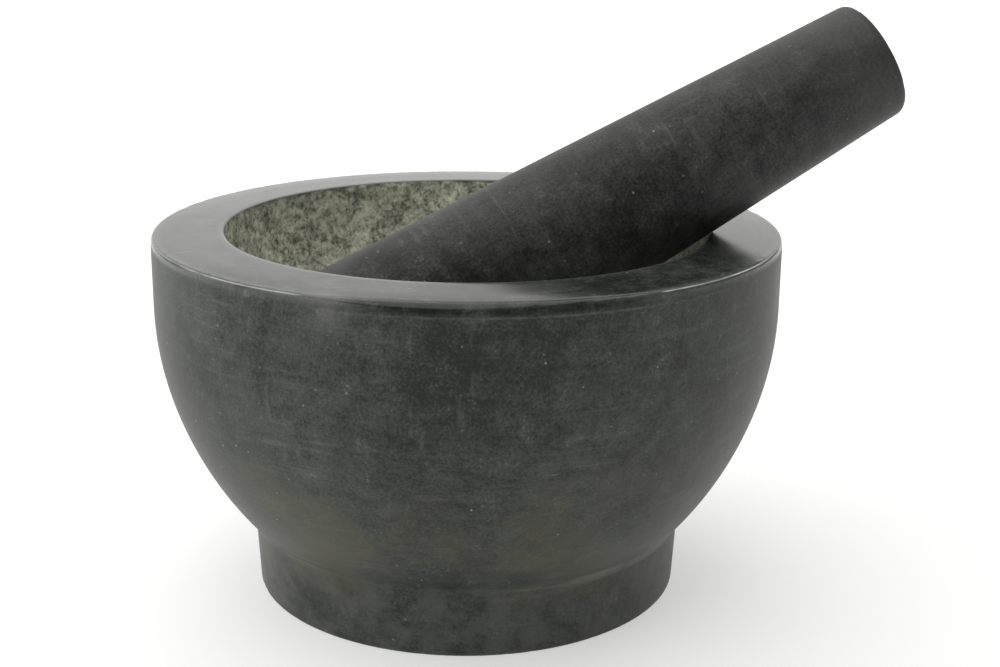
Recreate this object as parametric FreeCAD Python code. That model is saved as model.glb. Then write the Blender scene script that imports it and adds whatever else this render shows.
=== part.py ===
"""Stone mortar and its loose pestle, each carved from one block, in millimetres.

The origin is the centre of the foot's flat underside, +Z runs up the mortar's
axis, and +X is the way the pestle's handle points.
"""
import FreeCAD, Part
import math
import os

from FreeCAD import Placement, Rotation, Vector

# Mortar, outside
rim_height = 107.0         # at the inner edge of the rim
rim_fall = 0.35            # the rim slopes down this much to its outer edge
rim_radius = 90.6
rim_edge_radius = 1.3
shoulder_height = 86.4      # the wall is upright from here to the rim
shoulder_radius = 91.4      # curve that turns the upright wall in to the belly
shoulder_angle = 15.2       # degrees of that curve
belly_radius = 103.0
foot_height = 19.9
foot_base_radius = 62.9
foot_edge_radius = 1.0
foot_joint_radius = 5.0     # soft inside corner where the belly meets the foot

# Mortar, inside
bowl_radius = 69.8
bowl_centre_height = 103.4  # the bowl is half a sphere below this height
lip_radius = 1.1            # eased edge between the bowl and the flat rim

# Pestle
pestle_length = 190.2
handle_radius = 17.2
handle_crown = 0.6
handle_edge_radius = 3.0
grinding_radius = 25.0      # round end that does the grinding

# How the pestle leans: its axis stays in a plane beside the mortar's axis
lean_angle = 28.3           # degrees above the floor
lean_side_offset = -18.9    # along Y
lean_reach = 114.9          # middle of the handle's end face, along X
lean_height = 155.7         # and above the floor

upright = Vector(0, 0, 1)


def at(radius, height):
    """A point of a turned outline, which lies in the XZ plane."""
    return Vector(radius, 0, height)


def arc_by_angle(centre, radius, start, end):
    """An arc about centre from one angle to another, in degrees from +X."""
    points = []
    for angle in (start, (start + end) / 2, end):
        turn = math.radians(angle)
        points.append(centre + at(radius * math.cos(turn), radius * math.sin(turn)))
    return Part.Arc(*points).toShape()


def line(start, end):
    return Part.LineSegment(start, end).toShape()


def turned(outline):
    """The solid that a closed outline sweeps in a full turn about Z."""
    face = Part.Face(Part.Wire(outline))
    return face.revolve(Vector(0, 0, 0), upright, 360)


def rounded(solid, radius, height, edge_radius):
    """Rounds the circular edges of that radius and height."""
    edges = []
    for edge in solid.Edges:
        if edge.Degenerated or not isinstance(edge.Curve, Part.Circle):
            continue
        same_radius = abs(edge.Curve.Radius - radius) < 0.01
        if same_radius and abs(edge.Curve.Center.z - height) < 0.01:
            edges.append(edge)
    return solid.makeFillet(edge_radius, edges)


def make_mortar():
    """Bowl on a low ring foot: upright wall, round belly, wide flat rim."""
    shoulder_centre = at(rim_radius - shoulder_radius, shoulder_height)
    turn = math.radians(shoulder_angle)
    outward = at(math.cos(turn), -math.sin(turn))
    belly_centre = shoulder_centre + outward * (shoulder_radius - belly_radius)
    belly_drop = belly_centre.z - foot_height
    belly_end_angle = math.degrees(math.asin(belly_drop / belly_radius))
    joint_radius = belly_centre.x + belly_radius * math.cos(math.radians(belly_end_angle))
    bowl_centre = at(0, bowl_centre_height)
    rim_corner = at(rim_radius, rim_height - rim_fall)

    mortar = turned([
        line(at(0, 0), at(foot_base_radius, 0)),
        line(at(foot_base_radius, 0), at(joint_radius, foot_height)),
        arc_by_angle(belly_centre, belly_radius, -belly_end_angle, -shoulder_angle),
        arc_by_angle(shoulder_centre, shoulder_radius, -shoulder_angle, 0),
        line(at(rim_radius, shoulder_height), rim_corner),
        line(rim_corner, at(bowl_radius, rim_height)),
        line(at(bowl_radius, rim_height), at(bowl_radius, bowl_centre_height)),
        arc_by_angle(bowl_centre, bowl_radius, 0, -90),
        line(at(0, bowl_centre_height - bowl_radius), at(0, 0)),
    ])
    mortar = rounded(mortar, rim_radius, rim_corner.z, rim_edge_radius)
    mortar = rounded(mortar, bowl_radius, rim_height, lip_radius)
    mortar = rounded(mortar, joint_radius, foot_height, foot_joint_radius)
    return rounded(mortar, foot_base_radius, 0, foot_edge_radius)


def make_pestle():
    """Straight taper with a blunt handle end and a round grinding end."""
    tip_centre = at(0, grinding_radius)
    ball_to_end = pestle_length - grinding_radius
    span = math.hypot(handle_radius, ball_to_end)
    taper = math.asin(grinding_radius / span) - math.atan2(handle_radius, ball_to_end)
    taper_degrees = math.degrees(taper)
    ball_edge = tip_centre + at(math.cos(taper), math.sin(taper)) * grinding_radius
    shaft_end = at(handle_radius, pestle_length - handle_crown)

    pestle = turned([
        arc_by_angle(tip_centre, grinding_radius, -90, taper_degrees),
        line(ball_edge, shaft_end),
        crown_arc(shaft_end, pestle_length),
        line(at(0, pestle_length), at(0, 0)),
    ])
    pestle = rounded(pestle, shaft_end.x, shaft_end.z, handle_edge_radius)
    pestle.Placement = pestle_lean()
    return pestle


def crown_arc(edge, height):
    """Low dome over the handle's end, from its edge to its middle."""
    half_width = edge.x
    rise = height - edge.z
    radius = (half_width ** 2 + rise ** 2) / (2 * rise)
    edge_angle = math.degrees(math.acos(half_width / radius))
    return arc_by_angle(at(0, height - radius), radius, edge_angle, 90)


def pestle_lean():
    """Tips the upright pestle towards +X and sets its handle's end in place."""
    tip_over = Rotation(Vector(0, 1, 0), 90 - lean_angle)
    along = tip_over.multVec(upright)
    end = Vector(lean_reach, lean_side_offset, lean_height)
    return Placement(end - along * pestle_length, tip_over)


os.makedirs("parts", exist_ok=True)
make_mortar().exportStep("parts/mortar.step")
make_pestle().exportStep("parts/pestle.step")
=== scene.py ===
"""Looks of a turned stone mortar and its loose pestle, built over the CAD frame, in metres."""
import math

import bmesh
import bpy
from mathutils import Matrix, Vector, noise


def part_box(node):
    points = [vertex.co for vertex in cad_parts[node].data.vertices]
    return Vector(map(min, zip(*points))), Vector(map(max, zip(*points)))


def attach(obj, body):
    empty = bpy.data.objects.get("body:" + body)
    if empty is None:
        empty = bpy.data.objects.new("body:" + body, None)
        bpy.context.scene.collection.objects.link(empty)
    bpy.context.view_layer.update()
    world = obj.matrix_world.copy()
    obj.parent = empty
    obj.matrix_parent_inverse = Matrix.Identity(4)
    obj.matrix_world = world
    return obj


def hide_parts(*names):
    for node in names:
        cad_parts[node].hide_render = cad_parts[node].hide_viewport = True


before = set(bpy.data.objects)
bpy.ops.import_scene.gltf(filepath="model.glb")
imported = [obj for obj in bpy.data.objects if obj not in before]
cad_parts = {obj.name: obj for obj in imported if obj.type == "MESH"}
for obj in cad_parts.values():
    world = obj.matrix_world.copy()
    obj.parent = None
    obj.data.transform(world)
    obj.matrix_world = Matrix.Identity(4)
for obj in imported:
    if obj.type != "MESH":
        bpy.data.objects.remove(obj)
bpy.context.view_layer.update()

MM = 0.001
UPRIGHT = Vector((0, 0, 1))

NOISE_SEED = 7      # any fixed number, so that the dents are the same on every run
noise.seed_set(NOISE_SEED)

# Mortar outline, as in the CAD part
mortar_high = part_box("mortar")[1]
RIM_HEIGHT = mortar_high[2]
RIM_RADIUS = mortar_high[1]
RIM_FALL = 0.35 * MM
RIM_EDGE = 1.3 * MM
SHOULDER_HEIGHT = 86.4 * MM
SHOULDER_RADIUS = 91.4 * MM
SHOULDER_ANGLE = math.radians(15.2)
BELLY_RADIUS = 103.0 * MM
FOOT_HEIGHT = 19.9 * MM
FOOT_BASE_RADIUS = 62.9 * MM
FOOT_EDGE = 1.0 * MM
FOOT_JOINT = 5.0 * MM
BOWL_RADIUS = 69.8 * MM
BOWL_CENTRE = 103.4 * MM
LIP_RADIUS = 1.1 * MM

# Pestle outline and lean, as in the CAD part
PESTLE_LENGTH = 190.2 * MM
HANDLE_RADIUS = 17.2 * MM
HANDLE_CROWN = 0.6 * MM
HANDLE_EDGE = 3.0 * MM
GRINDING_RADIUS = 25.0 * MM
LEAN_ANGLE = math.radians(28.3)
LEAN_SIDE_OFFSET = -18.9 * MM
LEAN_REACH = 114.9 * MM
LEAN_HEIGHT = 155.7 * MM

# Mesh fineness: lengths are the steps along an outline
MORTAR_SEGMENTS = 448
PESTLE_SEGMENTS = 256
CORNER_STEPS = 6
UNDERSIDE_START = 6 * MM    # radius of the underside's first ring
UNDERSIDE_STEP = 8 * MM
JOINT_STEP = 0.5 * MM
WALL_STEP = 2.2 * MM
RIM_EDGE_STEP = 0.6 * MM
RIM_EDGE_REACH = 4 * MM     # height of wall below the rim that has those small steps
RIM_TOP_SHARE = 0.15        # share of the rim's flat top that has them too
BOWL_STEP = 0.95 * MM
BOWL_HOLE = 0.6 * MM        # radius of the bowl's last ring
SHAFT_STEP = 1.2 * MM
PESTLE_END_STEP = 1.0 * MM
TIP_HOLE_ANGLE = 0.02       # radians of arc left to the point on the axis
CROWN_HOLE_ANGLE = 0.002
SAME_POINT = 0.001 * MM

# Relief of the mortar
BOWL_FLOOR = BOWL_CENTRE - BOWL_RADIUS - 1.0 * MM
WALL_WAVE = 0.10 * MM       # depth of the slow, hand-finished waviness
WALL_WAVE_LENGTH = 45 * MM
CHIP_DEPTH = 0.10 * MM
CHIP_SPACING = 4 * MM
MORTAR_CHIPS = 0.08         # share of places along an edge that lost a flake
RIM_RIPPLE = 0.004 * MM
RIM_RIPPLE_LENGTH = 1.1 * MM
RIM_SINK = 0.16 * MM        # the rim's top is worn down this much at its outer edge
FRONT_WEAR = 1.7 * MM       # the rim's outer edge is rounder by this much at the front
WORN_MIDDLE = -10 * MM      # along X, the middle of that rounder part
WORN_FULLY = 22 * MM        # it is fully worn as far as this from its middle
WORN_END = 46 * MM
EDGE_REACH = 4 * MM         # how far from the rim's outer corner its edge counts

# Relief of the pestle
PESTLE_WAVE = 0.12 * MM
PESTLE_WAVE_LENGTH = 30 * MM
PESTLE_CHIPS = 0.10
GRINDING_WEAR = 0.12 * MM
GRINDING_WEAR_LENGTH = 2.5 * MM
GRINDING_WEAR_END = 38 * MM  # up the pestle from its round end

# Marks on the mortar, and the shade and highlights painted on it
PESTLE_REST = Vector((67.5, -20.6, 0)) * MM   # where the pestle rubs the bowl's edge
RUBBED_REACH = 30 * MM
RUBBED_FULLY = 10 * MM
BOWL_SHADE_PLACE = Vector((69, -3, 96)) * MM       # middle of the painted shade on the bowl wall below it
BOWL_SHADE_REACH = 46 * MM
BOWL_SHADE_CORE = 18 * MM
SOFT_HIGHLIGHT_PLACE = Vector((-49, -76, 105)) * MM   # painted soft highlight on the wall, just under the rim
SOFT_HIGHLIGHT_REACH = 9 * MM
SOFT_HIGHLIGHT_CORE = 1 * MM
HAZE_START = 78 * MM        # olive haze on the belly, growing from here down
HAZE_FULL = 36 * MM
PALER_FOOT_START = 28 * MM         # the foot is paler, growing from here down
PALER_FOOT_FULL = 14 * MM
JOINT_HEIGHT = 21 * MM      # a painted sheen lies round the joint of the foot and the belly
DARK_REFLECTION_LOW = 103.2 * MM       # a painted dark reflection on the front of the rim begins here
DARK_REFLECTION_FULL = 104.2 * MM
# a painted highlight line runs round the front at this height, just under the rim
HIGHLIGHT_LINE_HEIGHT = 103.0 * MM

# Colours of the stone, and of the shade and highlights painted on it
MORTAR_DARK = (0.0060, 0.0080, 0.0064, 1)
MORTAR_LIGHT = (0.0560, 0.0615, 0.0545, 1)
# pale dust of the stone, also the colour of the painted highlight line under the front of the rim
MORTAR_DUST_AND_HIGHLIGHT = (0.17, 0.177, 0.163, 1)
PESTLE_DARK = (0.0095, 0.0102, 0.0100, 1)
PESTLE_LIGHT = (0.0535, 0.0555, 0.0530, 1)
PESTLE_DUST = (0.14, 0.143, 0.137, 1)
HANDLED_STONE = (0.062, 0.063, 0.062, 1)
BARE_SPECKS = (0.30, 0.30, 0.275, 1)
BOWL_PITS = (0.11, 0.115, 0.086, 1)
CRUSHED_STONE = (0.84, 0.85, 0.70, 1)
OLIVE_HAZE = (0.060, 0.060, 0.034, 1)
OLIVE_VEINS = (0.085, 0.082, 0.050, 1)
PALER_FOOT = (0.086, 0.091, 0.081, 1)
# painted sheen round the joint of the foot and the belly
PAINTED_JOINT_SHEEN = (0.18, 0.18, 0.145, 1)
# painted soft highlight on the wall under the rim
PAINTED_SOFT_HIGHLIGHT = (0.175, 0.172, 0.170, 1)
# painted sheen along the rim's outer edge and the bowl's lip
PAINTED_EDGE_SHEEN = (0.20, 0.205, 0.19, 1)
# painted highlight along the rim's outer edge, at the left and right
PAINTED_EDGE_HIGHLIGHT = (0.68, 0.69, 0.66, 1)
# painted shade for the bowl wall under the pestle
PAINTED_BOWL_SHADE = (0.022, 0.023, 0.020, 1)

# Texture scales, in features per metre
BLOTCHES = 26
MOTTLES = 160
GRAIN = 1300
LATHE_MARKS = 520
SPECKS = 300


# ---------------------------------------------------------------- outlines

def arc(centre, radius, start, end, step):
    """Points of an arc in the outline plane, angles in radians from outwards."""
    count = max(2, math.ceil(abs(end - start) * radius / step))
    points = []
    for index in range(count + 1):
        turn = start + (end - start) * index / count
        points.append(Vector((centre[0] + radius * math.cos(turn),
                              centre[1] + radius * math.sin(turn))))
    return points


def straight(start, end, step):
    start = Vector(start)
    end = Vector(end)
    count = max(1, math.ceil((end - start).length / step))
    return [start.lerp(end, index / count) for index in range(count + 1)]


def eased_corner(before, corner, after, radius):
    """An arc of that radius tangent to both straight sides of a corner."""
    to_before = (Vector(before) - Vector(corner)).normalized()
    to_after = (Vector(after) - Vector(corner)).normalized()
    half = to_before.angle(to_after) / 2
    middle = (to_before + to_after).normalized()
    centre = Vector(corner) + middle * radius / math.sin(half)
    reach = radius / math.tan(half)
    first = Vector(corner) + to_before * reach - centre
    last = Vector(corner) + to_after * reach - centre
    start = math.atan2(first.y, first.x)
    sweep = first.angle_signed(last)
    points = []
    for index in range(CORNER_STEPS + 1):
        turn = start - sweep * index / CORNER_STEPS
        points.append(centre + Vector((math.cos(turn), math.sin(turn))) * radius)
    return points


def joined(*runs):
    """One outline from several runs, without the points they share."""
    outline = []
    for run in runs:
        for point in run:
            if not outline or (point - outline[-1]).length > SAME_POINT:
                outline.append(point)
    return outline


def joint_ease(foot_base, joint, belly):
    """The arc that eases the foot's straight side into the belly, touching both."""
    up_foot = (joint - foot_base).normalized()
    outward = Vector((up_foot.y, -up_foot.x))
    start = foot_base + outward * FOOT_JOINT - belly
    along = start.dot(up_foot)
    reach = BELLY_RADIUS + FOOT_JOINT
    climb = -along - math.sqrt(along ** 2 - start.length_squared + reach ** 2)
    centre = foot_base + outward * FOOT_JOINT + up_foot * climb
    to_belly = belly - centre
    first = math.atan2(-outward.y, -outward.x)
    last = math.atan2(to_belly.y, to_belly.x)
    return arc(centre, FOOT_JOINT, first, last, JOINT_STEP)


def mortar_outline():
    """From the middle of the underside, up the outside and down into the bowl."""
    shoulder = Vector((RIM_RADIUS - SHOULDER_RADIUS, SHOULDER_HEIGHT))
    outward = Vector((math.cos(SHOULDER_ANGLE), -math.sin(SHOULDER_ANGLE)))
    belly = shoulder + outward * (SHOULDER_RADIUS - BELLY_RADIUS)
    belly_end = math.asin((belly.y - FOOT_HEIGHT) / BELLY_RADIUS)
    joint = belly + Vector((math.cos(belly_end), -math.sin(belly_end))) * BELLY_RADIUS
    foot_base = Vector((FOOT_BASE_RADIUS, 0))
    foot_ease = joint_ease(foot_base, joint, belly)
    on_belly = foot_ease[-1] - belly
    rim_corner = Vector((RIM_RADIUS, RIM_HEIGHT - RIM_FALL))
    lip_corner = Vector((BOWL_RADIUS, RIM_HEIGHT))
    base_ease = eased_corner(Vector((0, 0)), foot_base, joint, FOOT_EDGE)
    rim_ease = eased_corner(Vector((RIM_RADIUS, 0)), rim_corner, lip_corner, RIM_EDGE)
    lip_ease = eased_corner(rim_corner, lip_corner, Vector((BOWL_RADIUS, 0)), LIP_RADIUS)
    bowl_hole_angle = BOWL_HOLE / BOWL_RADIUS
    below_edge = Vector((RIM_RADIUS, RIM_HEIGHT - RIM_EDGE_REACH))
    inside_edge = rim_ease[-1].lerp(lip_ease[0], RIM_TOP_SHARE)
    return joined(
        straight((UNDERSIDE_START, 0), base_ease[0], UNDERSIDE_STEP),
        base_ease,
        straight(base_ease[-1], foot_ease[0], WALL_STEP),
        foot_ease,
        arc(belly, BELLY_RADIUS, math.atan2(on_belly.y, on_belly.x), -SHOULDER_ANGLE, WALL_STEP),
        arc(shoulder, SHOULDER_RADIUS, -SHOULDER_ANGLE, 0, WALL_STEP),
        straight((RIM_RADIUS, SHOULDER_HEIGHT), below_edge, WALL_STEP),
        straight(below_edge, rim_ease[0], RIM_EDGE_STEP),
        rim_ease,
        straight(rim_ease[-1], inside_edge, RIM_EDGE_STEP),
        straight(inside_edge, lip_ease[0], WALL_STEP),
        lip_ease,
        straight(lip_ease[-1], (BOWL_RADIUS, BOWL_CENTRE), BOWL_STEP),
        arc((0, BOWL_CENTRE), BOWL_RADIUS, 0, bowl_hole_angle - math.pi / 2, BOWL_STEP),
    )


def pestle_outline():
    """From the round end up the taper to the middle of the handle's low dome."""
    ball_to_end = PESTLE_LENGTH - GRINDING_RADIUS
    span = math.hypot(HANDLE_RADIUS, ball_to_end)
    taper = math.asin(GRINDING_RADIUS / span) - math.atan2(HANDLE_RADIUS, ball_to_end)
    tip_centre = (0, GRINDING_RADIUS)
    tip_start = TIP_HOLE_ANGLE - math.pi / 2
    ball = arc(tip_centre, GRINDING_RADIUS, tip_start, taper, PESTLE_END_STEP)
    shaft_end = Vector((HANDLE_RADIUS, PESTLE_LENGTH - HANDLE_CROWN))
    crown_radius = (HANDLE_RADIUS ** 2 + HANDLE_CROWN ** 2) / (2 * HANDLE_CROWN)
    crown_edge = math.acos(HANDLE_RADIUS / crown_radius)
    crown_centre = (0, PESTLE_LENGTH - crown_radius)
    crown_end = math.pi / 2 - CROWN_HOLE_ANGLE
    crown = arc(crown_centre, crown_radius, crown_edge, crown_end, PESTLE_END_STEP)
    crown_beside_edge = crown[3]
    corner = eased_corner(ball[-1], shaft_end, crown_beside_edge, HANDLE_EDGE)
    beyond_corner = [point for point in crown if point.x < corner[-1].x - 0.3 * MM]
    return joined(ball, straight(ball[-1], corner[0], SHAFT_STEP), corner, beyond_corner)


def lathe(name, outline, segments):
    """A closed mesh turned from an outline, with one point at each end on the axis."""
    mesh = bpy.data.meshes.new(name)
    turned = bmesh.new()
    rings = []
    for radius, height in outline:
        ring = []
        for index in range(segments):
            turn = 2 * math.pi * index / segments
            ring.append(turned.verts.new((radius * math.cos(turn), radius * math.sin(turn), height)))
        rings.append(ring)
    for lower, upper in zip(rings, rings[1:]):
        for index in range(segments):
            other = (index + 1) % segments
            turned.faces.new((lower[index], lower[other], upper[other], upper[index]))
    first = turned.verts.new((0, 0, outline[0].y))
    last = turned.verts.new((0, 0, outline[-1].y))
    for index in range(segments):
        other = (index + 1) % segments
        turned.faces.new((first, rings[0][other], rings[0][index]))
        turned.faces.new((last, rings[-1][index], rings[-1][other]))
    turned.to_mesh(mesh)
    turned.free()
    mesh.shade_smooth()
    piece = bpy.data.objects.new(name, mesh)
    bpy.context.scene.collection.objects.link(piece)
    return piece


# ---------------------------------------------------------------- relief

def smooth_step(low, high, value):
    share = min(1.0, max(0.0, (value - low) / (high - low)))
    return share * share * (3 - 2 * share)


def unevenness(place, wavelength):
    """Soft hand-finished waviness, from 0 to about 1."""
    return 0.5 + 0.5 * noise.noise(place / wavelength)


def chips(place, spacing, share):
    """Depth from 0 to 1 of small flakes lost from an edge, on part of its cells."""
    distances, centres = noise.voronoi(place / spacing)
    if noise.cell(centres[0] * 7.3) > share:
        return 0.0
    inside = smooth_step(0.0, 0.3, distances[1] - distances[0])
    return inside * smooth_step(0.55, 0.1, distances[0])


def rounded_over(outline_place, ease):
    """Pulls a point of the outline in to a rim edge of that radius."""
    reach = (RIM_RADIUS - ease - BOWL_RADIUS) / (RIM_RADIUS - BOWL_RADIUS)
    centre = Vector((RIM_RADIUS - ease, RIM_HEIGHT - RIM_FALL * reach - ease))
    from_centre = outline_place - centre
    if min(from_centre) <= 0 or from_centre.length <= ease:
        return outline_place
    return centre + from_centre.normalized() * ease


def peck_depth(place):
    """Overlapping dents of two sizes left by a pointed hammer, and the crumbling between them."""
    bent = place + noise.noise_vector(place / (4 * MM)) * 0.7 * MM
    wide = noise.voronoi(bent / (4.2 * MM))[0]
    small = noise.voronoi(bent / (2.3 * MM))[0]
    depth = 0.42 * MM * smooth_step(0.75, 0.05, wide[0])
    depth += 0.30 * MM * smooth_step(0.7, 0.05, small[0])
    return depth + 0.22 * MM * unevenness(place, 1.6 * MM)


def point_values(mesh, *wanted):
    """Adds named values per point, and hands them back once all are in place."""
    for name, kind in wanted:
        mesh.attributes.new(name, kind, "POINT")
    return [mesh.attributes[name] for name, kind in wanted]


def bowl_relief(place):
    """A point of the bowl once pecked, how pecked it is, and how polished by the pestle."""
    from_rest = (Vector((place.x, place.y, 0)) - PESTLE_REST).length
    rubbed = smooth_step(RUBBED_REACH, RUBBED_FULLY, from_rest)
    pecks_start = (0.3 + 3.5 * rubbed) * MM
    pecks_start += (0.3 + rubbed) * MM * noise.noise(place / (4 * MM))
    pecks_full = pecks_start + (0.7 + 6 * rubbed) * MM
    amount = smooth_step(pecks_start, pecks_full, RIM_HEIGHT - place.z)
    if place.z < BOWL_CENTRE:
        outward = (place - Vector((0, 0, BOWL_CENTRE))).normalized()
    else:
        outward = Vector((place.x, place.y, 0)).normalized()
    return place + outward * amount * peck_depth(place), amount, rubbed * (1 - amount)


def outside_relief(place, normal, front_wear):
    """A point of the foot, wall or rim once finished and worn, and how polished it is."""
    outline_place = Vector((place.xy.length, place.z))
    from_rim = (outline_place - Vector((RIM_RADIUS, RIM_HEIGHT - RIM_FALL))).length
    from_foot = (outline_place - Vector((FOOT_BASE_RADIUS, 0))).length
    on_top = smooth_step(3.2 * MM, 1.4 * MM, RIM_HEIGHT - place.z)
    place = place.copy()
    if front_wear and from_rim < 5 * MM:
        worn_place = rounded_over(outline_place, RIM_EDGE + FRONT_WEAR * front_wear)
        place.xy *= worn_place.x / outline_place.x
        place.z = worn_place.y
    depth = WALL_WAVE * unevenness(place, WALL_WAVE_LENGTH)
    near_rim = smooth_step(3.5 * MM, 0.6 * MM, from_rim)
    near_foot = smooth_step(4 * MM, 0.6 * MM, from_foot)
    if near_rim or near_foot:
        depth += (near_rim + near_foot) * CHIP_DEPTH * chips(place, CHIP_SPACING, MORTAR_CHIPS)
    if on_top:
        ripple = 0.5 + 0.5 * math.sin(outline_place.x / RIM_RIPPLE_LENGTH)
        sunk = smooth_step(RIM_RADIUS - 8 * MM, RIM_RADIUS - 1 * MM, outline_place.x)
        depth += on_top * (RIM_RIPPLE * ripple + RIM_SINK * sunk)
    return place - normal * depth, on_top


def edge_amount(outline_place, front_wear):
    """How near a point is to the rim's outer edge or, a little weaker, to the bowl's lip."""
    rim_corner = Vector((RIM_RADIUS, RIM_HEIGHT - RIM_FALL))
    lip_corner = Vector((BOWL_RADIUS, RIM_HEIGHT))
    near_lip = smooth_step(2.2 * MM, 0.5 * MM, (outline_place - lip_corner).length)
    near_edge = (1 - (outline_place - rim_corner).length / EDGE_REACH) * (1 - 0.9 * front_wear)
    return max(0.8 * near_lip, near_edge, 0.0)


def mortar_relief(mesh):
    """Dents the bowl, wears the edges and stores what the stone's colour needs to know."""
    pecked, polished, rim_edge = point_values(
        mesh, ("pecked", "FLOAT"), ("polished", "FLOAT"), ("rim_edge", "FLOAT"))
    moved = []
    for vertex in mesh.vertices:
        place = vertex.co
        index = vertex.index
        outline_place = Vector((place.xy.length, place.z))
        from_worn = abs(place.x - WORN_MIDDLE)
        front_wear = smooth_step(WORN_END, WORN_FULLY, from_worn) if place.y < 0 else 0.0
        rim_edge.data[index].value = edge_amount(outline_place, front_wear)
        if outline_place.x < BOWL_RADIUS + 0.5 * MM and place.z > BOWL_FLOOR:
            new_place, pecked.data[index].value, polished.data[index].value = bowl_relief(place)
        else:
            new_place, polished.data[index].value = outside_relief(place, vertex.normal, front_wear)
        moved.append(new_place)
    for vertex, place in zip(mesh.vertices, moved):
        vertex.co = place


def pestle_relief(mesh):
    """Slow waviness, a worn end and each point's place before the pestle is tipped over."""
    grain_place, worn = point_values(mesh, ("grain_place", "FLOAT_VECTOR"), ("worn", "FLOAT"))
    handle_corner = Vector((HANDLE_RADIUS, PESTLE_LENGTH))
    moved = []
    for vertex in mesh.vertices:
        place = vertex.co.copy()
        grain_place.data[vertex.index].vector = place
        near_end = smooth_step(GRINDING_WEAR_END, 3 * MM, place.z)
        worn.data[vertex.index].value = near_end
        depth = PESTLE_WAVE * unevenness(place, PESTLE_WAVE_LENGTH)
        depth += near_end * GRINDING_WEAR * unevenness(place, GRINDING_WEAR_LENGTH)
        outline_place = Vector((place.xy.length, place.z))
        near_corner = smooth_step(4 * MM, 0.8 * MM, (outline_place - handle_corner).length)
        if near_corner:
            depth += near_corner * CHIP_DEPTH * chips(place, CHIP_SPACING, PESTLE_CHIPS)
        moved.append(place - vertex.normal * depth)
    for vertex, place in zip(mesh.vertices, moved):
        vertex.co = place


# ---------------------------------------------------------------- pieces

def make_mortar(stone):
    mortar = lathe("mortar_stone", mortar_outline(), MORTAR_SEGMENTS)
    mortar_relief(mortar.data)
    mortar.data.materials.append(stone)
    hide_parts("mortar")
    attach(mortar, "mortar")


def make_pestle(stone):
    pestle = lathe("pestle_stone", pestle_outline(), PESTLE_SEGMENTS)
    pestle_relief(pestle.data)
    tip_over = Matrix.Rotation(math.pi / 2 - LEAN_ANGLE, 4, "Y")
    along = tip_over @ UPRIGHT
    handle_end = Vector((LEAN_REACH, LEAN_SIDE_OFFSET, LEAN_HEIGHT))
    pestle.data.transform(Matrix.Translation(handle_end - along * PESTLE_LENGTH) @ tip_over)
    pestle.data.materials.append(stone)
    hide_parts("pestle")
    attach(pestle, "pestle")


# ---------------------------------------------------------------- material nodes

STONE_IOR = 1.36   # low, for the dust and fine pores of a honed face
BUMP_STRENGTH = 0.8


class Shader:
    """A material's node tree, with short ways to add and join its nodes."""

    def __init__(self, name):
        self.material = bpy.data.materials.new(name)
        self.material.use_nodes = True
        self.tree = self.material.node_tree
        self.surface = self.tree.nodes["Principled BSDF"]
        self.surface.inputs["IOR"].default_value = STONE_IOR

    def add(self, kind, inputs, output=0, **settings):
        """Adds a node; an input is a value, or the output of another node."""
        node = self.tree.nodes.new(kind)
        for name, value in settings.items():
            setattr(node, name, value)
        for name, value in inputs.items():
            self.put(node.inputs[name], value)
        return node.outputs[output]

    def put(self, socket, value):
        if isinstance(value, bpy.types.NodeSocket):
            self.tree.links.new(value, socket)
        else:
            socket.default_value = value

    def math(self, operation, first, second=0.0):
        return self.add("ShaderNodeMath", {0: first, 1: second}, operation=operation)

    def product(self, first, *others):
        """Values multiplied together."""
        for other in others:
            first = self.math("MULTIPLY", first, other)
        return first

    def gap(self, value, middle):
        """How far a value is from the middle one."""
        return self.math("ABSOLUTE", self.math("SUBTRACT", value, middle))

    def weighed(self, *parts):
        """The sum of values, each times its weight."""
        total = 0.0
        for value, weight in parts:
            inputs = {0: value, 1: weight, 2: total}
            total = self.add("ShaderNodeMath", inputs, operation="MULTIPLY_ADD")
        return total

    def noise(self, place, scale, detail=3.0, roughness=0.55, distortion=0.0):
        inputs = {"Vector": place, "Scale": scale, "Detail": detail,
                  "Roughness": roughness, "Distortion": distortion}
        return self.add("ShaderNodeTexNoise", inputs)

    def cells(self, place, scale, output="Distance"):
        return self.add("ShaderNodeTexVoronoi", {"Vector": place, "Scale": scale}, output)

    def fade(self, value, low, high, start=0.0, end=1.0):
        """Maps low..high smoothly to start..end."""
        inputs = {"Value": value, "From Min": low, "From Max": high, "To Min": start, "To Max": end}
        return self.add("ShaderNodeMapRange", inputs, interpolation_type="SMOOTHSTEP")

    def blend(self, share, first, second):
        return self.add("ShaderNodeMix", {0: share, 6: first, 7: second}, 2, data_type="RGBA")

    def blend_value(self, share, first, second):
        return self.add("ShaderNodeMix", {0: share, 2: first, 3: second}, 0, data_type="FLOAT")

    def stored(self, name, output="Fac"):
        return self.add("ShaderNodeAttribute", {}, output, attribute_name=name)

    def split(self, place):
        """The X, Y and Z of a place."""
        parts = self.tree.nodes.new("ShaderNodeSeparateXYZ")
        self.put(parts.inputs[0], place)
        return tuple(parts.outputs)

    def distance(self, place, other):
        return self.add("ShaderNodeVectorMath", {0: place, 1: other}, 1, operation="DISTANCE")

    def bump(self, height, distance):
        inputs = {"Height": height, "Distance": distance, "Strength": BUMP_STRENGTH}
        return self.add("ShaderNodeBump", inputs)

    def finish(self, color, roughness, normal):
        self.put(self.surface.inputs["Base Color"], color)
        self.put(self.surface.inputs["Roughness"], roughness)
        self.put(self.surface.inputs["Normal"], normal)
        return self.material


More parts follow.
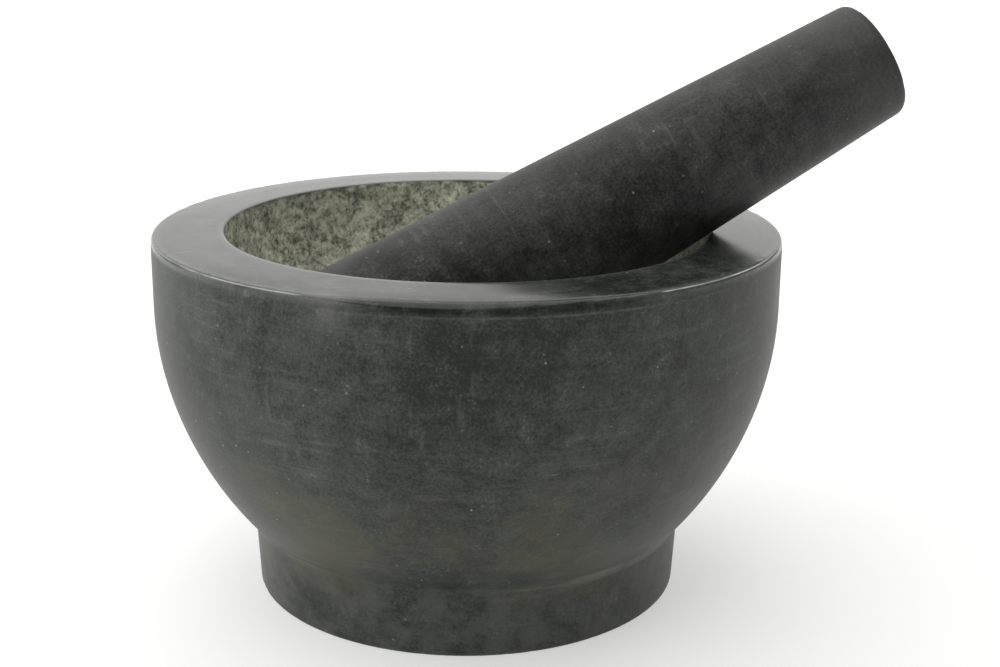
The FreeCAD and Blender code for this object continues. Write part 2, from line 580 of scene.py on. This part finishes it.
def turned_place(shader, place):
    """Stretches a place round the Z axis, for marks that the lathe and the pads leave."""
    x, y, z = shader.split(place)
    squares = shader.math("ADD", shader.product(x, x), shader.product(y, y))
    across = shader.math("ADD", z, shader.math("SQRT", squares))
    inputs = {"X": shader.product(x, 0.05), "Y": shader.product(y, 0.05), "Z": across}
    return shader.add("ShaderNodeCombineXYZ", inputs)


def scratches(shader, place, turn):
    """Short thin scratches along one direction, from 0 to 1."""
    inputs = {"Vector": place, "Rotation": turn, "Scale": (70, 1500, 1500)}
    stretched = shader.add("ShaderNodeMapping", inputs)
    return shader.fade(shader.noise(stretched, 1.0, 1.0, 0.5), 0.71, 0.80)


def honed_stone(shader, place, dark, light, dusty):
    """Colour, roughness and height of dark stone that is honed smooth by hand."""
    blotches = shader.noise(place, BLOTCHES, 5, 0.62, 0.2)
    mottles = shader.noise(place, MOTTLES, 6, 0.72, 0.2)
    grain = shader.noise(place, GRAIN, 3, 0.7)
    marks = shader.noise(turned_place(shader, place), LATHE_MARKS, 5, 0.65)
    tone = shader.weighed((blotches, 0.29), (mottles, 0.28), (grain, 0.32), (marks, 0.11))
    color = shader.blend(shader.fade(tone, 0.40, 0.60), dark, light)

    dust = shader.product(shader.fade(mottles, 0.54, 0.72), shader.fade(grain, 0.50, 0.64))
    scuffs = shader.product(shader.fade(marks, 0.56, 0.70), shader.fade(blotches, 0.48, 0.60))
    upright = shader.add("ShaderNodeMapping", {"Vector": place, "Scale": (420, 420, 60)})
    runs = shader.product(shader.fade(shader.noise(upright, 1.0, 3.0, 0.6), 0.55, 0.72),
                          shader.fade(shader.noise(place, 45, 3), 0.50, 0.62))
    paler = shader.weighed((dust, 0.55), (scuffs, 0.22), (runs, 0.16))
    color = shader.blend(paler, color, dusty)

    scratched = shader.math("ADD", scratches(shader, place, (0.3, 0.5, 0.9)),
                            scratches(shader, place, (0.8, -0.6, -0.4)))
    scratched = shader.product(scratched, shader.fade(blotches, 0.50, 0.60))
    speck_draw = shader.add("ShaderNodeSeparateColor", {0: shader.cells(place, SPECKS, "Color")})
    specks = shader.product(shader.fade(shader.cells(place, SPECKS), 0.13, 0.04),
                            shader.fade(speck_draw, 0.60, 1.0))
    bare_marks_and_edge_highlight = shader.weighed((specks, 0.75), (scratched, 0.30))
    color = shader.blend(bare_marks_and_edge_highlight, color, BARE_SPECKS)
    roughness = shader.fade(tone, 0.35, 0.65, 0.38, 0.52)
    height = shader.weighed((grain, 0.5), (marks, 0.5), (specks, -0.6), (scratched, -0.4))
    return color, roughness, height


def pecked_stone(shader, place):
    """Colour and height of the bowl's crushed, pecked stone, with painted shade on the wall below
    the pestle.
    """
    dents = shader.noise(place, 560, 5, 0.75, 0.3)
    patches = shader.noise(place, 150, 4, 0.65)
    pits = shader.fade(shader.cells(place, 620), 0.50, 0.10)
    crushed = shader.weighed((dents, 0.65), (patches, 0.35), (pits, -0.05))
    color = shader.blend(shader.fade(crushed, 0.33, 0.64), BOWL_PITS, CRUSHED_STONE)
    # painted shade on the bowl wall under the pestle, uneven at its edge
    from_bowl_shade = shader.distance(place, BOWL_SHADE_PLACE)
    shade_unevenness = shader.fade(shader.noise(place, 90, 5, 0.65), 0.36, 0.54, 0.85, 1.0)
    bowl_shade = shader.fade(from_bowl_shade, BOWL_SHADE_REACH, BOWL_SHADE_CORE, 0.0, 0.91)
    bowl_shade = shader.product(bowl_shade, shade_unevenness)
    color = shader.blend(bowl_shade, color, PAINTED_BOWL_SHADE)
    return color, shader.weighed((dents, 3.6), (pits, -0.6))


def low_marks(shader, place, color, patchy):
    """Olive haze and veins low on the belly, a paler foot, and a painted sheen where the two meet.
    """
    level = shader.split(place)[2]
    on_belly = shader.product(shader.fade(level, HAZE_START, HAZE_FULL),
                              shader.fade(level, 9 * MM, 18 * MM, 0.15, 1.0))
    haze = shader.fade(shader.noise(place, 32, 5, 0.6, 0.3), 0.40, 0.62)
    haze = shader.product(haze, on_belly)
    color = shader.blend(shader.product(haze, 0.60), color, OLIVE_HAZE)
    veins = shader.gap(shader.noise(place, 38, 6, 0.65, 1.2), 0.5)
    veins = shader.product(shader.fade(veins, 0.020, 0.004), haze, 0.4)
    color = shader.blend(veins, color, OLIVE_VEINS)
    paler_foot = shader.product(patchy, shader.fade(level, PALER_FOOT_START, PALER_FOOT_FULL, 0.0, 0.55))
    color = shader.blend(paler_foot, color, PALER_FOOT)
    # painted sheen, in streaks round the joint of the foot and the belly
    joint_sheen = shader.noise(turned_place(shader, place), 300, 4, 0.6)
    joint_sheen = shader.product(shader.fade(joint_sheen, 0.50, 0.66, 0.0, 0.4),
                             shader.fade(shader.gap(level, JOINT_HEIGHT), 6 * MM, 1 * MM), haze)
    return shader.blend(joint_sheen, color, PAINTED_JOINT_SHEEN)


def rim_marks(shader, place, color, patchy):
    """A painted soft highlight, a painted dark reflection and a painted highlight line under the
    rim, and painted highlights along the rim's edges.
    """
    x, y, level = shader.split(place)
    # painted soft highlight on the wall just under the rim
    from_soft_highlight = shader.distance(place, SOFT_HIGHLIGHT_PLACE)
    soft_highlight = shader.fade(from_soft_highlight, SOFT_HIGHLIGHT_REACH, SOFT_HIGHLIGHT_CORE, 0.0, 0.6)
    soft_highlight = shader.product(patchy, soft_highlight)
    color = shader.blend(soft_highlight, color, PAINTED_SOFT_HIGHLIGHT)
    at_front = shader.product(patchy, shader.fade(y, -66 * MM, -84 * MM))
    # painted dark reflection across the front of the rim
    dark_reflection = shader.product(at_front, shader.fade(level, DARK_REFLECTION_LOW, DARK_REFLECTION_FULL, 0.0, 0.7))
    color = shader.blend(dark_reflection, color, MORTAR_DARK)
    # painted highlight line along the front, just under the rim
    on_highlight_line = shader.fade(shader.gap(level, HIGHLIGHT_LINE_HEIGHT), 0.45 * MM, 0.1 * MM, 0.0, 0.28)
    color = shader.blend(shader.product(at_front, on_highlight_line), color, MORTAR_DUST_AND_HIGHLIGHT)

    # painted sheen along the rim's outer edge and the bowl's lip, and a brighter painted highlight
    # on the outer edge at the left and right
    rim_edge = shader.stored("rim_edge")
    color = shader.blend(shader.fade(rim_edge, 0.1, 0.8, 0.0, 0.25), color, PAINTED_EDGE_SHEEN)
    to_right = shader.product(shader.fade(x, 22 * MM, 40 * MM),
                              shader.fade(x, 84 * MM, 60 * MM, 0.2, 1.0))
    to_left = shader.product(shader.fade(x, -40 * MM, -60 * MM),
                             shader.fade(x, -88 * MM, -76 * MM, 0.15, 0.5))
    uneven = shader.fade(shader.noise(place, 70), 0.35, 0.55, 0.4, 1.0)
    bare_marks_and_edge_highlight = shader.product(shader.fade(rim_edge, 0.835, 0.862),
                          shader.math("ADD", to_right, to_left), uneven)
    return shader.blend(bare_marks_and_edge_highlight, color, PAINTED_EDGE_HIGHLIGHT)


def mortar_material():
    """Honed wall, polished rim and paler pecked bowl, told apart by the stored amounts."""
    shader = Shader("mortar_stone")
    place = shader.add("ShaderNodeTexCoord", {}, "Object")
    color, roughness, height = honed_stone(shader, place, MORTAR_DARK, MORTAR_LIGHT, MORTAR_DUST_AND_HIGHLIGHT)
    patchy = shader.fade(shader.noise(place, 110, 6, 0.7, 0.2), 0.38, 0.62, 0.15, 1.0)
    color = low_marks(shader, place, color, patchy)
    color = rim_marks(shader, place, color, patchy)

    polished = shader.stored("polished")
    roughness = shader.blend_value(polished, roughness, shader.fade(height, 0.2, 0.8, 0.12, 0.21))
    height = shader.blend_value(shader.product(polished, 0.85), height, 0.5)

    pecked = shader.stored("pecked")
    bowl_color, bowl_height = pecked_stone(shader, place)
    color = shader.blend(pecked, color, bowl_color)
    roughness = shader.blend_value(pecked, roughness, 0.85)
    height = shader.blend_value(pecked, height, bowl_height)
    return shader.finish(color, roughness, shader.bump(height, 0.12 * MM))


def pestle_material():
    """Darker and less shiny than the mortar, with a paler, rougher grinding end."""
    shader = Shader("pestle_stone")
    shader.surface.inputs["Specular IOR Level"].default_value = 0.28
    place = shader.stored("grain_place", "Vector")
    color, roughness, height = honed_stone(shader, place, PESTLE_DARK, PESTLE_LIGHT, PESTLE_DUST)
    along = shader.split(place)[2]
    handled = shader.fade(along, 135 * MM, 185 * MM, 0.0, 0.44)
    color = shader.blend(handled, color, HANDLED_STONE)
    worn = shader.stored("worn")
    color = shader.blend(shader.product(worn, 0.5), color, PESTLE_DUST)
    roughness = shader.math("ADD", roughness, shader.fade(worn, 0.0, 1.0, 0.05, 0.25))
    return shader.finish(color, roughness, shader.bump(height, 0.10 * MM))


def floor_material():
    """Pale, and glowing more the farther it is from the object."""
    shader = Shader("pale_floor")
    place = shader.add("ShaderNodeTexCoord", {}, "Object")
    from_middle = shader.distance(place, (0, 0, 0))
    surface = shader.surface.inputs
    surface["Base Color"].default_value = (0.55, 0.55, 0.55, 1)
    surface["Roughness"].default_value = 0.9
    surface["Specular IOR Level"].default_value = 0.1
    surface["Emission Color"].default_value = (1, 1, 1, 1)
    glow = shader.fade(from_middle, 0.2, 2.0, 0.50, 0.80)
    shader.put(surface["Emission Strength"], glow)
    return shader.material


# ---------------------------------------------------------------- studio

LIGHT_COLOR = (1.0, 1.0, 0.965)
LIGHT_AIM = Vector((0, 0, 0.08))
WORLD_STRENGTH = 0.185
FLOOR_HALF = 8.0

# Softboxes: name, place, size and radiance
SOFTBOXES = [
    ("back_light", (0.1, 2.2, 1.15), (4.4, 2.2), 0.95),
    ("left_light", (-1.4, -0.6, 0.7), (1.2, 1.2), 1.9),
    ("left_strip", (-1.5, 0.6, 0.6), (0.8, 1.1), 1.8),
    ("right_strip", (1.2, 0.2, 1.6), (0.5, 0.8), 0.9),
    ("top_light", (-0.2, 0.25, 2.0), (2.4, 2.5), 2.2),
]

CAMERA_PLACE = Vector((-78.1, -442.7, 202.0)) * MM
CAMERA_HEADING = math.radians(11.24)    # to the right of +Y
CAMERA_PITCH = math.radians(15.94)      # below level
CAMERA_ROLL = math.radians(0.48)
CAMERA_LENS = 56.6                      # millimetres, on a 36 mm wide sensor


def make_floor():
    mesh = bpy.data.meshes.new("floor")
    corners = [(-FLOOR_HALF, -FLOOR_HALF, 0), (FLOOR_HALF, -FLOOR_HALF, 0),
               (FLOOR_HALF, FLOOR_HALF, 0), (-FLOOR_HALF, FLOOR_HALF, 0)]
    mesh.from_pydata(corners, [], [(0, 1, 2, 3)])
    floor = bpy.data.objects.new("floor", mesh)
    bpy.context.scene.collection.objects.link(floor)
    mesh.materials.append(floor_material())


def softbox(name, place, size, radiance):
    """A rectangular light that faces the middle of the object."""
    light = bpy.data.lights.new(name, "AREA")
    light.color = LIGHT_COLOR
    light.shape = "RECTANGLE"
    light.size, light.size_y = size
    light.energy = radiance * math.pi * size[0] * size[1]
    lamp = bpy.data.objects.new(name, light)
    lamp.location = place
    lamp.rotation_euler = (LIGHT_AIM - lamp.location).to_track_quat("-Z", "Y").to_euler()
    lamp.visible_camera = False
    bpy.context.scene.collection.objects.link(lamp)


def make_lights():
    world = bpy.data.worlds.new("studio")
    world.use_nodes = True
    background = world.node_tree.nodes["Background"].inputs
    background["Color"].default_value = (1, 1, 1, 1)
    background["Strength"].default_value = WORLD_STRENGTH
    bpy.context.scene.world = world
    for name, place, size, radiance in SOFTBOXES:
        softbox(name, place, size, radiance)


def make_camera():
    data = bpy.data.cameras.new("camera")
    data.sensor_width = 36.0
    data.lens = CAMERA_LENS
    data.clip_start = 0.01
    camera = bpy.data.objects.new("camera", data)
    camera.location = CAMERA_PLACE
    heading = Matrix.Rotation(-CAMERA_HEADING, 4, "Z")
    pitch = Matrix.Rotation(math.pi / 2 - CAMERA_PITCH, 4, "X")
    roll = Matrix.Rotation(CAMERA_ROLL, 4, "Z")
    camera.rotation_euler = (heading @ pitch @ roll).to_euler()
    bpy.context.scene.collection.objects.link(camera)
    bpy.context.scene.camera = camera


make_camera()
make_floor()
make_lights()
make_mortar(mortar_material())
make_pestle(pestle_material())
bpy.context.scene.view_settings.view_transform = "Standard"
